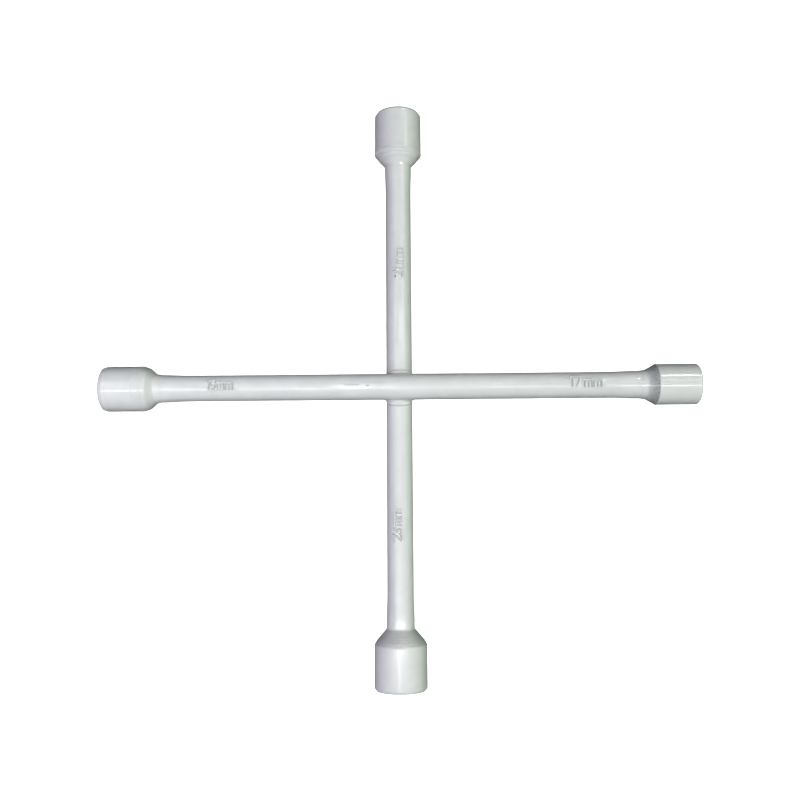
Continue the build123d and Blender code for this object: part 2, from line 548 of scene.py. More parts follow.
@dataclass(frozen=True)
class SatinEnamel:
    """Light grey alkyd enamel sprayed in one coat over steel: a milky satin face with a soft
    sheen, a slightly clearer top skin that gives thin bright lines along the round bars, and
    faint clouds of thinner and thicker paint."""

    name: str
    face_hex: str = "#d3d2d2"
    thin_hex: str = "#c7c6c7"
    steel_hex: str = "#5b5d60"
    clouds: Patches = Patches(9.0, (0.35, 0.68), 4.0, 0.55)
    thinness: float = 0.42  # how far the paint thins in a cloud
    sheen: Patches = Patches(3.5, (0.3, 0.7), 3.0)
    roughness: tuple[float, float] = (0.40, 0.51)
    peel_mm: float = 0.9  # orange peel of sprayed enamel is nearer 0.5 mm: drawn coarser so it shows
    peel_depth: float = 0.000008
    grit_mm: float = 2.6  # unevenness of the forged or turned skin under the paint
    grit_depth: float = 0.00003
    ior: float = 1.45
    specular: float = 0.2
    skin: float = 0.8  # the clear top skin, which gives the thin bright lines
    skin_roughness: float = 0.11
    pinhole_gap_mm: float = 17.0
    pinhole_radii: tuple[float, float] = (0.018, 0.032)  # its middle and its edge, in gaps
    pinhole_depth: float = 0.3
    scuffs: tuple[Scuff, ...] = ()
    worn_depth: float = 0.00003
    # painted shade, grainy with dust, on a flare that turns from the light
    shade_and_dust: ShadeDustBand | None = None
    # dusty grey of the painted shade on the flares and in the stamped strokes
    shade_and_dirt_hex: str = "#8d8f8c"
    stamp_shade_and_dirt: float = 0.0  # how much the stamped strokes are darkened: painted shade in the recesses, and dirt

    def build(self) -> bpy.types.Material:
        """Builds the paint.

        Returns:
            The new material.
        """
        material, tree, place = new_material(self.name)
        face = add(
            tree, "Mix", COLOUR_MIX,
            {
                FACTOR: self.clouds.build(tree, place, 0.0, self.thinness),
                FIRST: linear(self.face_hex), SECOND: linear(self.thin_hex),
            },
        )
        colour = face.outputs[MIXED]
        # Painted shade: a band of a flare turned from the light is darkened, grainy like dust.
        if self.shade_and_dust:
            colour = self.shaded_and_dusted(tree, place, colour, self.shade_and_dust)
        # Painted shade and dirt: the bottoms of the stamped strokes are darkened.
        if self.stamp_shade_and_dirt:
            pressed = add(tree, "Attribute", {"attribute_name": PRESSED})
            stroke_shade = add(
                tree, "Math", {"operation": "MULTIPLY"},
                {0: pressed.outputs["Fac"], 1: self.stamp_shade_and_dirt},
            )
            colour = self.shaded_and_dirtied(tree, colour, stroke_shade.outputs[0])
        worn = self.pinholes(tree, place)
        for scuff in self.scuffs:
            rubbed = self.rubbed(tree, place, scuff)
            worn = add(tree, "Math", {"operation": "MAXIMUM"}, {0: worn, 1: rubbed}).outputs[0]
        bare = add(tree, "Mix", COLOUR_MIX, {FACTOR: worn, FIRST: colour, SECOND: linear(self.steel_hex)})
        shader = add(
            tree, "BsdfPrincipled", {},
            {
                "Base Color": bare.outputs[MIXED],
                "Roughness": self.sheen.build(tree, place, *self.roughness),
                "Normal": self.relief(tree, place, worn),
                "IOR": self.ior,
                "Specular IOR Level": self.specular,
                "Coat Weight": self.skin,
                "Coat Roughness": self.skin_roughness,
            },
        )
        add(tree, "OutputMaterial", {}, {"Surface": shader.outputs["BSDF"]})
        return material

    def shaded_and_dirtied(self, tree: Tree, colour: Field, mask: Field) -> Field:
        """Mixes the dusty grey of painted shade and dirt over a colour, by a mask of 0 to 1."""
        mixed = add(tree, "Mix", COLOUR_MIX, {FACTOR: mask, FIRST: colour, SECOND: linear(self.shade_and_dirt_hex)})
        return mixed.outputs[MIXED]

    def shaded_and_dusted(self, tree: Tree, place: Field, colour: Field, band: ShadeDustBand) -> Field:
        """Mixes the painted shade of one band over the paint, grainy like dust and with soft ends.

        Args:
            tree: the node tree.
            place: position in the row frame.
            colour: the paint's colour.
            band: where the painted shade and dust lie.

        Returns:
            The colour with painted shade and dust.
        """
        along = add(tree, "VectorMath", {"operation": "DOT_PRODUCT"}, {0: place, 1: band.along})
        rising = add(
            tree, "MapRange", {"interpolation_type": "SMOOTHSTEP"},
            {
                "Value": along.outputs["Value"], "From Min": band.start, "From Max": band.full,
                "To Min": 0.0, "To Max": band.depth,
            },
        )
        falling = add(
            tree, "MapRange", {"interpolation_type": "SMOOTHSTEP"},
            {
                "Value": along.outputs["Value"], "From Min": band.end - band.softness,
                "From Max": band.end + band.softness, "To Min": 1.0, "To Max": 0.0,
            },
        )
        zone = add(
            tree, "Math", {"operation": "MULTIPLY"},
            {0: rising.outputs["Result"], 1: falling.outputs["Result"]},
        )
        mask = add(
            tree, "Math", {"operation": "MULTIPLY"},
            {0: zone.outputs[0], 1: band.grains.build(tree, place, band.thinnest, 1.0)},
        )
        return self.shaded_and_dirtied(tree, colour, mask.outputs[0])

    def pinholes(self, tree: Tree, place: Field) -> Field:
        """Adds sparse pinholes in the paint, about a millimetre across.

        Args:
            tree: the node tree.
            place: position in the row frame.

        Returns:
            A mask of 0 to the pinholes' depth.
        """
        cells = add(
            tree, "TexVoronoi", {"feature": "F1"},
            {"Vector": place, "Scale": waves_per_metre(self.pinhole_gap_mm), "Randomness": 1.0},
        )
        middle, edge = self.pinhole_radii
        dots = add(
            tree, "MapRange", {},
            {
                "Value": cells.outputs["Distance"], "From Min": middle, "From Max": edge,
                "To Min": self.pinhole_depth, "To Max": 0.0,
            },
        )
        return dots.outputs["Result"]

    def rubbed(self, tree: Tree, place: Field, scuff: Scuff) -> Field:
        """Adds the mask of one scuff, ragged at its edge.

        Args:
            tree: the node tree.
            place: position in the row frame.
            scuff: where and how deep.

        Returns:
            A mask of 0 to the scuff's depth.
        """
        shifted = add(tree, "VectorMath", {"operation": "SUBTRACT"}, {0: place, 1: scuff.centre})
        scaled = add(
            tree, "VectorMath", {"operation": "DIVIDE"},
            {0: shifted.outputs[0], 1: scuff.half_size},
        )
        distance = add(tree, "VectorMath", {"operation": "LENGTH"}, {0: scaled.outputs[0]})
        streaks = add(
            tree, "TexNoise", {},
            {"Vector": place, "Scale": waves_per_metre(scuff.streak_mm), "Detail": 4.0, "Roughness": 0.7},
        )
        ragged = add(
            tree, "Math", {"operation": "MULTIPLY_ADD"},
            {0: streaks.outputs["Fac"], 1: scuff.raggedness, 2: distance.outputs["Value"]},
        )
        mask = add(
            tree, "MapRange", {},
            {
                "Value": ragged.outputs[0], "From Min": scuff.edge[0], "From Max": scuff.edge[1],
                "To Min": scuff.depth, "To Max": 0.0,
            },
        )
        return mask.outputs["Result"]

    def relief(self, tree: Tree, place: Field, worn: Field) -> Field:
        """Adds the skin's unevenness, the orange peel and the edge of worn spots as bumps.

        Args:
            tree: the node tree.
            place: position in the row frame.
            worn: how much of the paint is gone.

        Returns:
            The surface's normal.
        """
        grit = add(
            tree, "TexNoise", {},
            {"Vector": place, "Scale": waves_per_metre(self.grit_mm), "Detail": 3.0, "Roughness": 0.6},
        )
        peel = add(
            tree, "TexNoise", {},
            {"Vector": place, "Scale": waves_per_metre(self.peel_mm), "Detail": 2.0},
        )
        below = {}
        for height, depth, is_pit in (
            (grit.outputs["Fac"], self.grit_depth, False),
            (peel.outputs["Fac"], self.peel_depth, False),
            (worn, self.worn_depth, True),
        ):
            bump = add(
                tree, "Bump", {"invert": is_pit},
                {"Strength": 1.0, "Distance": depth, "Height": height, **below},
            )
            below = {"Normal": bump.outputs["Normal"]}
        return below["Normal"]


@dataclass(frozen=True)
class OpalAcrylic:
    """Matt opal acrylic of a light table: white and lit evenly from below, so no shadow shows on it."""

    name: str = "opal_light_table"
    face_hex: str = "#fbfbfb"
    shade_hex: str = "#e8e8e8"
    mottle: Patches = Patches(60.0, (0.0, 1.0))
    mottle_depth: float = 0.02
    roughness: float = 0.95
    light_hex: str = "#ffffff"
    glow: float = 1.0

    def build(self) -> bpy.types.Material:
        """Builds the acrylic, with a very faint mottling.

        Returns:
            The new material.
        """
        material, tree, place = new_material(self.name)
        face = add(
            tree, "Mix", COLOUR_MIX,
            {
                FACTOR: self.mottle.build(tree, place, 0.0, self.mottle_depth),
                FIRST: linear(self.face_hex), SECOND: linear(self.shade_hex),
            },
        )
        shader = add(
            tree, "BsdfPrincipled", {},
            {
                "Base Color": face.outputs[MIXED], "Roughness": self.roughness,
                "Specular IOR Level": 0.0, "Emission Color": linear(self.light_hex),
                "Emission Strength": self.glow,
            },
        )
        add(tree, "OutputMaterial", {}, {"Surface": shader.outputs["BSDF"]})
        return material


# ---------------------------------------------------------------- size marks


GLYPHS: dict[str, tuple[float, list[list[tuple[float, float]]]]] = {
    "1": (0.24, [[(0.07, 0.84), (0.24, 1.0), (0.24, 0.0)]]),
    "2": (0.56, [[(0.0, 0.8), (0.14, 1.0), (0.4, 1.0), (0.54, 0.8), (0.54, 0.62), (0.0, 0.0), (0.56, 0.0)]]),
    "3": (0.56, [
        [(0.0, 0.86), (0.16, 1.0), (0.4, 1.0), (0.54, 0.84), (0.54, 0.66), (0.38, 0.53), (0.22, 0.53)],
        [(0.38, 0.53), (0.56, 0.38), (0.56, 0.16), (0.4, 0.0), (0.14, 0.0), (0.0, 0.14)],
    ]),
    "7": (0.56, [[(0.0, 1.0), (0.56, 1.0), (0.2, 0.0)]]),
    "9": (0.54, [
        [(0.54, 0.6), (0.38, 0.44), (0.14, 0.44), (0.0, 0.6), (0.0, 0.84), (0.14, 1.0), (0.4, 1.0)],
        [(0.4, 1.0), (0.54, 0.84), (0.54, 0.24), (0.4, 0.0), (0.08, 0.0)],
    ]),
    "m": (0.76, [
        [(0.0, 0.0), (0.0, 0.66)],
        [(0.0, 0.5), (0.14, 0.64), (0.28, 0.64), (0.38, 0.52), (0.38, 0.0)],
        [(0.38, 0.5), (0.52, 0.64), (0.66, 0.64), (0.76, 0.52), (0.76, 0.0)],
    ]),
    " ": (0.1, []),
}


@dataclass(frozen=True)
class SizeMark:
    """A nut size stamped into the bar and softened by paint.

    Attributes:
        text: the characters.
        start: crossing to the first character along the reading direction, metres.
        height: height of a tall character, metres.
        shift: how far the mark sits to the left of the bar's top line, metres.
        gap: space between characters, metres.
        stroke: width of a stroke, metres.
        soft: width over which a stroke's side slopes away, metres.
        depth: depth of the mark below the bar's surface, metres.
        burr: height of the metal pushed up beside a stroke, metres.
        burr_width: distance from the stroke over which the burr dies away, metres.
    """

    text: str
    start: float
    height: float
    shift: float = 0.0
    gap: float = 1.2 * MM
    stroke: float = 0.85 * MM
    soft: float = 0.32 * MM
    depth: float = 0.75 * MM
    burr: float = 0.3 * MM
    burr_width: float = 0.45 * MM

    def strokes(self) -> list[tuple[np.ndarray, np.ndarray]]:
        """Lists the straight strokes of the mark.

        Returns:
            The two ends of each, in metres along and across the bar.
        """
        found = []
        left = self.start
        for character in self.text:
            width, runs = GLYPHS[character]
            for run in runs:
                ends = [
                    np.array([left + x * self.height, (y - 0.5) * self.height + self.shift])
                    for x, y in run
                ]
                found.extend(zip(ends, ends[1:]))
            left += width * self.height + self.gap
        return found

    def end(self) -> float:
        """Crossing to the end of the last character, metres."""
        widths = sum(GLYPHS[character][0] * self.height + self.gap for character in self.text)
        return self.start + widths - self.gap

    def relief(self, along: np.ndarray, across: np.ndarray) -> np.ndarray:
        """Height of the mark at points of the bar's unrolled surface.

        Args:
            along: distance along the bar, metres.
            across: arc length from the top line, metres.

        Returns:
            The rise at each point, negative inside the strokes, metres.
        """
        nearest = np.full(along.shape, np.inf)
        for start, end in self.strokes():
            run = end - start
            t = ((along - start[0]) * run[0] + (across - start[1]) * run[1]) / float(run @ run)
            t = np.clip(t, 0.0, 1.0)
            gap = np.hypot(along - start[0] - t * run[0], across - start[1] - t * run[1])
            nearest = np.minimum(nearest, gap)
        pressed = smooth((self.stroke / 2 + self.soft / 2 - nearest) / self.soft)
        beside = np.exp(-(((nearest - self.stroke / 2 - self.soft) / self.burr_width) ** 2))
        return self.burr * beside - self.depth * pressed


# ---------------------------------------------------------------- sub-assemblies


@dataclass
class RoundBar:
    """One round bar with upset ends and stamped size marks."""

    name: str
    near: ArmPlan  # arm the reading direction points away from
    far: ArmPlan  # arm the reading direction points to
    marks: tuple[SizeMark, ...]
    finish: SatinEnamel
    seed: int
    radius: float = BAR_RADIUS
    upset_length: float = 16.0 * MM
    wander: float = 0.018 * MM  # unevenness of drawn bar after forging
    wander_length: float = 11.0 * MM
    fade_length: float = 8.0 * MM  # over which the unevenness dies away at the welds
    ring_gap: float = 1.6 * MM
    mark_ring_gap: float = 0.16 * MM
    mark_margin: float = 1.0 * MM
    mark_window: float = 38.0  # degrees each side of the top line that the marks may reach
    mark_columns: int = 96
    plain_columns: int = 84

    def stations(self) -> np.ndarray:
        """Lists where the mesh has a ring, close together at the marks.

        Returns:
            Distances along the bar from the crossing, metres.
        """
        start = -self.near.joint + WELD_HALF_WIDTH
        end = self.far.joint - WELD_HALF_WIDTH
        parts = [np.linspace(start, end, int((end - start) / self.ring_gap))]
        for mark in self.marks:
            low, high = mark.start - self.mark_margin, mark.end() + self.mark_margin
            parts.append(np.linspace(low, high, int((high - low) / self.mark_ring_gap)))
        return np.unique(np.concatenate(parts))

    def angles(self) -> np.ndarray:
        """Lists where each ring has a point, close together at the marks.

        Returns:
            Angles round the bar from its top line, radians.
        """
        window = math.radians(self.mark_window)
        fine = np.linspace(-window, window, self.mark_columns, endpoint=False)
        coarse = np.linspace(window, 2 * math.pi - window, self.plain_columns, endpoint=False)
        return np.concatenate([fine, coarse])

    def base_radius(self, distance: np.ndarray) -> np.ndarray:
        """Radius of the plain bar, swelling towards each welded end.

        Args:
            distance: along the bar from the crossing, metres.

        Returns:
            The radius at each distance, metres.
        """
        to_far = (distance - (self.far.joint - self.upset_length)) / self.upset_length
        to_near = (-distance - (self.near.joint - self.upset_length)) / self.upset_length
        swell = smooth(to_far) + smooth(to_near)
        return self.radius + (self.far.neck_radius - self.radius) * swell

    def build(self) -> bpy.types.Object:
        """Makes the bar.

        Returns:
            The new object.
        """
        distance, angle = np.meshgrid(self.stations(), self.angles(), indexing="ij")
        radius = self.base_radius(distance)
        to_far = smooth((self.far.joint - distance) / self.fade_length)
        to_near = smooth((distance + self.near.joint) / self.fade_length)
        noise = gentle_noise(distance / self.wander_length, angle, self.seed)
        radius = radius + to_far * to_near * self.wander * noise
        arc = np.where(angle > math.pi, angle - 2 * math.pi, angle) * self.radius
        relief = sum(mark.relief(distance, arc) for mark in self.marks)
        radius = radius + relief
        across = radius * np.sin(angle)
        rise = radius * np.cos(angle)
        points = self.far.line.place(distance, across, rise)
        piece = Shell(self.name, points).build(self.finish.build())
        pressed = np.clip(-relief / self.marks[0].depth, 0.0, 1.0)
        values = piece.data.attributes.new(PRESSED, "FLOAT", "POINT")
        values.data.foreach_set("value", pressed.ravel())
        return piece


@dataclass(frozen=True)
class TurningLine:
    """A fine ring left by the lathe.

    Attributes:
        from_rim: rim to the ring, metres.
        width: width of the ring, metres.
        rise: height above the surface, negative for a groove, metres.
    """

    from_rim: float
    width: float
    rise: float


@dataclass
class Socket:
    """One turned socket: body, cone, hex recess and the hole behind it."""

    arm: ArmPlan
    outline: tuple[tuple[float, float, float], ...]  # (from rim, radius, blend) from neck to rim
    turning: tuple[TurningLine, ...]
    finish: SatinEnamel
    seed: int
    turning_reach: float = 2.2  # of a turning line's width, from its middle to plain sampling
    arc_step: float = 0.25 * MM
    plain_step: float = 0.45 * MM
    turning_step: float = 0.08 * MM
    corner_limit: float = 1.135  # the hex's corners are rounded off here, in half flats
    lead_in: float = 2.0 * MM
    lead_in_stations_mm: tuple[float, ...] = (0.25, 0.5, 0.75, 1.0, 1.25, 1.5, 1.75, 2.0)
    hex_stations_mm: tuple[float, ...] = (4.0, 7.0, 10.0, 13.0, 16.0)
    hex_edge: float = 0.15 * MM  # last stretch of the hex wall before its bottom
    relief_edge: float = 0.3 * MM  # first and last stretch of the round wall behind it
    floor_ring: float = 0.5  # size of the ring on the bottom of the hole, of the hole's radius
    wander: float = 0.02 * MM  # unevenness of the turned wall
    wander_length: float = 7.0 * MM
    fade_length: float = 3.0 * MM  # over which the unevenness dies away at the rim and the weld

    def name(self) -> str:
        """The piece's name."""
        return f"socket_body_{self.arm.size}"

    def outside(self) -> np.ndarray:
        """Samples the outside profile from the neck weld to the rim.

        Returns:
            Points as rows of (distance from the crossing, radius).
        """
        start = self.arm.joint + WELD_HALF_WIDTH
        corners = [(start, self.arm.neck_radius, 0.0)]
        corners += [(self.arm.rim - back, radius, blend) for back, radius, blend in self.outline]
        rough = fill_path(rounded_path(corners, self.arc_step), self.plain_step)
        from_rim = self.arm.rim - (rough[1:, 0] + rough[:-1, 0]) / 2
        is_turned = np.zeros(len(from_rim), bool)
        for line in self.turning:
            reach = self.turning_reach * line.width + self.arc_step
            is_turned |= np.abs(from_rim - line.from_rim) < reach
        return fill_path(rough, np.where(is_turned, self.turning_step, self.plain_step))

    def hex_radius(self) -> np.ndarray:
        """Samples the wall of the hex recess, its corners slightly rounded.

        Returns:
            Distance from the axis at each angle, metres.
        """
        half_flats = (self.arm.size * MM + HEX_CLEARANCE_MM * MM) / 2
        sector = math.pi / 3
        turn = np.mod(ROUND + sector / 2, sector) - sector / 2
        return np.minimum(half_flats / np.cos(turn), half_flats * self.corner_limit)

    def inside(self) -> list[tuple[float, bool]]:
        """Lists the stations of the recess from the rim inward.

        Returns:
            Each distance, with True where the wall is round and False where it follows the hex.
        """
        hex_end, relief_end = self.arm.relief_end, self.arm.relief_start
        stations = [
            (self.arm.rim - depth * MM, False)
            for depth in self.lead_in_stations_mm + self.hex_stations_mm
        ]
        stations += [(hex_end + self.hex_edge, False), (hex_end, False)]
        stations += [(hex_end, True), (hex_end - self.relief_edge, True)]
        stations += [(relief_end + self.relief_edge, True), (relief_end, True)]
        return stations

    def wall(self, distance: float, radius: float) -> np.ndarray:
        """Adds the unevenness and the turning lines to one ring of the outside.

        Args:
            distance: crossing to the ring, metres.
            radius: plain radius there, metres.

        Returns:
            The radius at each angle.
        """
        from_rim = self.arm.rim - distance
        from_weld = distance - self.arm.joint - WELD_HALF_WIDTH
        noise = gentle_noise(np.array(distance / self.wander_length), ROUND, self.seed)
        fade = smooth(np.array(from_rim / self.fade_length))
        fade = fade * smooth(np.array(from_weld / self.fade_length))
        rise = sum(
            line.rise * math.exp(-((from_rim - line.from_rim) / line.width) ** 2)
            for line in self.turning
        )
        return radius + self.wander * noise * fade + rise

    def build(self) -> bpy.types.Object:
        """Makes the socket.

        Returns:
            The new object.
        """
        hex_wall = self.hex_radius()
        mouth = float(hex_wall.max()) + LEAD_IN_MARGIN_MM * MM
        flats = float(hex_wall.min())
        rings = [(distance, self.wall(distance, radius)) for distance, radius in self.outside()]
        rings.append((self.arm.rim, mouth))
        for distance, is_round in self.inside():
            depth = self.arm.rim - distance
            cone = mouth - (mouth - flats) * min(depth / self.lead_in, 1.0)
            rings.append((distance, self.arm.relief_radius if is_round else np.maximum(hex_wall, cone)))
        rings.append((self.arm.relief_start, self.arm.relief_radius * self.floor_ring))
        return Shell(self.name(), turned(self.arm.line, rings)).build(self.finish.build())


@dataclass
class NeckWeld:
    """The groove weld between a bar and its socket, dressed almost flush before painting."""

    arm: ArmPlan
    finish: SatinEnamel
    root_radius: float = 5.0 * MM
    crown: float = 0.015 * MM
    unevenness: float = 0.3  # of the crown
    ripples: int = 3  # makes the unevenness finer round the weld
    crown_rings: int = 13

    def build(self) -> bpy.types.Object:
        """Makes the ring with a very slight crown.

        Returns:
            The new object.
        """
        rings = []
        for t in np.linspace(-1, 1, self.crown_rings):
            noise = gentle_noise(np.array(t), self.ripples * ROUND, self.arm.size)
            crown = self.crown * (1 - t * t) * (1 + self.unevenness * noise)
            rings.append((self.arm.joint + t * WELD_HALF_WIDTH, self.arm.neck_radius + crown))
        rings.append((self.arm.joint, self.root_radius))
        points = turned(self.arm.line, rings)
        return Shell(f"neck_bead_{self.arm.size}", points, closed_rows=True).build(self.finish.build())


@dataclass
class CrossingWeld:
    """A quarter of the bead that fills the corner between the two bars."""

    arm: ArmPlan
    upper_height: float
    lower_height: float
    finish: SatinEnamel
    seed: int
    radius: float = BAR_RADIUS
    leg_middle: float = 4.8 * MM  # corner to toe on the arm's own bar, at the middle of the quarter
    climb_middle: float = 1.8 * MM  # corner to toe on the other bar, at the middle
    leg_corner: float = 5.4 * MM  # both, where two quarters meet
    ripple: float = 0.015  # unevenness of the leg
    ripple_length: float = 1.6 * MM
    toe_depth: float = 0.02 * MM  # the toes are sunk this far into the bars
    fullness: float = 0.8  # 1 is a flat face, less is hollow
    lip: float = 1.25 * MM  # metal squeezed out by the joint and rolled up beside the toe
    lip_place: float = 0.2  # of the way from the toe to the other bar
    lip_width: float = 0.16
    lip_start: float = 0.04  # of the way, over which the lip rises from the toe
    lip_fade: float = 0.6  # of the lip is gone where two quarters meet
    root: float = 0.8 * MM
    root_share: float = 0.9  # of a leg, where the sunk root ends
    crowding: float = 1.3  # above 1, the section's points lie closer together at the toe
    stations: int = 61
    section: int = 29

    def corner_line(self, turn: np.ndarray) -> tuple[np.ndarray, np.ndarray]:
        """The line where the two bars' surfaces meet, on the side of this arm.

        Args:
            turn: angle round the bar that the arm belongs to, from the contact line.

        Returns:
            The line's points on the unrolled own bar (along, arc) and on the other bar (along, arc).
        """
        gap = self.upper_height - self.lower_height
        other_rise = gap - self.radius * np.cos(turn)
        along = np.sqrt(np.maximum(self.radius**2 - other_rise**2, 0))
        own = np.stack([along, self.radius * turn], axis=-1)
        other_turn = np.arctan2(along, other_rise)
        other = np.stack([self.radius * np.sin(turn), self.radius * other_turn], axis=-1)
        return own, other

    def offset(self, line: np.ndarray, leg: np.ndarray) -> np.ndarray:
        """Moves a line on an unrolled surface outward from the crossing.

        Args:
            line: the line's points.
            leg: how far each point moves, metres.

        Returns:
            The moved points.
        """
        run = np.gradient(line, axis=0)
        normal = np.stack([run[:, 1], -run[:, 0]], axis=-1)
        normal = normal / np.linalg.norm(normal, axis=1, keepdims=True)
        flip = np.sign(np.sum(normal * line, axis=1, keepdims=True))
        return line + normal * flip * leg[:, None]

    def on_bar(self, flat: np.ndarray, depth: float, is_own: bool) -> np.ndarray:
        """Rolls unrolled points back onto one of the two bars.

        Args:
            flat: points as rows of (along the bar, arc from the line of contact), metres.
            depth: how far below the bar's surface they go, metres.
            is_own: True for the arm's own bar, False for the bar that crosses it.

        Returns:
            Points in the row frame.
        """
        line = self.arm.line
        is_upper = line.height > (self.upper_height + self.lower_height) / 2
        turn = flat[:, 1] / self.radius
        reach = self.radius - depth
        facing = 1 if is_upper != is_own else -1
        sideways = reach * np.sin(turn)
        rise = facing * reach * np.cos(turn)
        if is_own:
            return line.place(flat[:, 0], sideways, rise)
        other_height = self.lower_height if is_upper else self.upper_height
        return line.place(sideways, flat[:, 0], other_height - line.height + rise)

    def build(self) -> bpy.types.Object:
        """Makes the quarter of the bead.

        Returns:
            The new object.
        """
        gap = self.upper_height - self.lower_height
        limit = math.acos(gap / 2 / self.radius)
        turn = np.linspace(-limit, limit, self.stations)
        own, other = self.corner_line(turn)
        side = np.abs(turn / limit)
        leg = self.leg_middle + (self.leg_corner - self.leg_middle) * smooth(side)
        climb = self.climb_middle + (self.leg_corner - self.climb_middle) * smooth(side)
        noise = gentle_noise(turn * self.radius / self.ripple_length, np.array(0.0), self.seed)
        foot = self.offset(own, leg * (1 + self.ripple * noise))
        toe_own = self.on_bar(foot, self.toe_depth, True)
        toe_other = self.on_bar(self.offset(other, climb), self.toe_depth, False)
        corner = self.on_bar(own, 0.0, True)
        middle = (toe_own + toe_other) / 2
        control = corner + (middle - corner) * self.fullness
        deep_own = self.on_bar(self.offset(own, leg * self.root_share), self.root, True)
        deep_other = self.on_bar(self.offset(other, climb * self.root_share), self.root, False)
        sunk = self.on_bar(own, self.root, True)
        outward = self.on_bar(foot, -MM, True) - self.on_bar(foot, 0.0, True)
        outward = outward / np.linalg.norm(outward, axis=1, keepdims=True)
        sections = []
        for t in np.linspace(0, 1, self.section) ** self.crowding:
            roll = self.lip * math.exp(-(((t - self.lip_place) / self.lip_width) ** 2))
            roll = roll * (1 - self.lip_fade * side**2)
            face = (1 - t) ** 2 * toe_own + 2 * t * (1 - t) * control + t * t * toe_other
            sections.append(face + outward * (roll * min(1.0, t / self.lip_start))[:, None])
        sections += [deep_other, sunk, deep_own]
        points = np.stack(sections, axis=1)
        return Shell(f"crossing_bead_{self.arm.size}", points).build(self.finish.build())


# ---------------------------------------------------------------- studio


class LampUse(Enum):
    """What a lamp is for."""

    EVEN = "even light without a reflection of its own, as from a bounced lamp"
    SHINE = "only the reflection that draws a bright line along a round bar"


@dataclass(frozen=True)
class SoftLamp:
    """An area lamp aimed at the wrench.

    Attributes:
        name: the lamp's name.
        place: where it hangs, metres.
        size: width and height of its face, metres.
        watts: its power.
        hex_colour: colour of its light.
        use: what the lamp is for.
    """

    name: str
    place: tuple[float, float, float]
    size: tuple[float, float]
    watts: float
    hex_colour: str = "#ffffff"
    use: LampUse = LampUse.EVEN

    def build(self) -> None:
        """Hangs the lamp."""
        data = bpy.data.lights.new(self.name, "AREA")
        data.shape = "RECTANGLE"
        data.size, data.size_y = self.size
        data.energy = self.watts
        data.color = linear(self.hex_colour)[:3]
        lamp = bpy.data.objects.new(self.name, data)
        lamp.location = self.place
        lamp.rotation_mode = "QUATERNION"
        lamp.rotation_quaternion = level_aim(Vector(self.place), Vector((0.0, 0.0, 0.0)))
        lamp.visible_diffuse = self.use is LampUse.EVEN
        lamp.visible_glossy = self.use is LampUse.SHINE
        bpy.context.scene.collection.objects.link(lamp)


@dataclass
class Studio:
    """Floor, surroundings, lamps and camera."""

    lamps: tuple[SoftLamp, ...]
    floor_finish: OpalAcrylic
    floor_size: float = 8.0
    surround_hex: str = "#303133"
    camera_place: tuple[float, float, float] = (0.00930, -0.07481, 0.52896)
    camera_aim: tuple[float, float, float] = (0.00039, -0.00658, 0.016)
    camera_roll: float = -0.37  # degrees
    lens: float = 36.964  # millimetres, with the sensor below
    sensor: float = 36.0
    near_clip: float = 0.01

    def build(self) -> None:
        """Sets up the whole studio."""
        self.build_floor()
        self.build_surround()
        for lamp in self.lamps:
            lamp.build()
        self.build_camera()
        bpy.context.scene.view_settings.view_transform = "Standard"

    def build_floor(self) -> None:
        """Lays the light table, which casts no light on the wrench and shows in no reflection."""
        half = self.floor_size / 2
        corners = [(-half, -half, 0), (half, -half, 0), (half, half, 0), (-half, half, 0)]
        mesh = bpy.data.meshes.new("floor")
        mesh.from_pydata(corners, [], [(0, 1, 2, 3)])
        floor = bpy.data.objects.new("floor", mesh)
        bpy.context.scene.collection.objects.link(floor)
        mesh.materials.append(self.floor_finish.build())
        floor.visible_diffuse = False
        floor.visible_glossy = False

    def build_surround(self) -> None:
        """Fills the room with a dim, even grey."""
        world = bpy.data.worlds.new("room")
        world.use_nodes = True
        tree = world.node_tree
        tree.nodes.clear()
        air = add(tree, "Background", {}, {"Color": linear(self.surround_hex), "Strength": 1.0})
        add(tree, "OutputWorld", {}, {"Surface": air.outputs["Background"]})
        bpy.context.scene.world = world

    def build_camera(self) -> None:
        """Hangs the camera above the wrench, a little towards the 23 mm arm."""
        data = bpy.data.cameras.new("camera")
        data.lens = self.lens
        data.sensor_width = self.sensor
        data.clip_start = self.near_clip
        camera = bpy.data.objects.new("camera", data)
        camera.location = self.camera_place
        level = level_aim(Vector(self.camera_place), Vector(self.camera_aim))
        camera.rotation_mode = "QUATERNION"
        camera.rotation_quaternion = level @ Quaternion((0, 0, 1), math.radians(self.camera_roll))
        bpy.context.scene.collection.objects.link(camera)
        bpy.context.scene.camera = camera


# ---------------------------------------------------------------- build


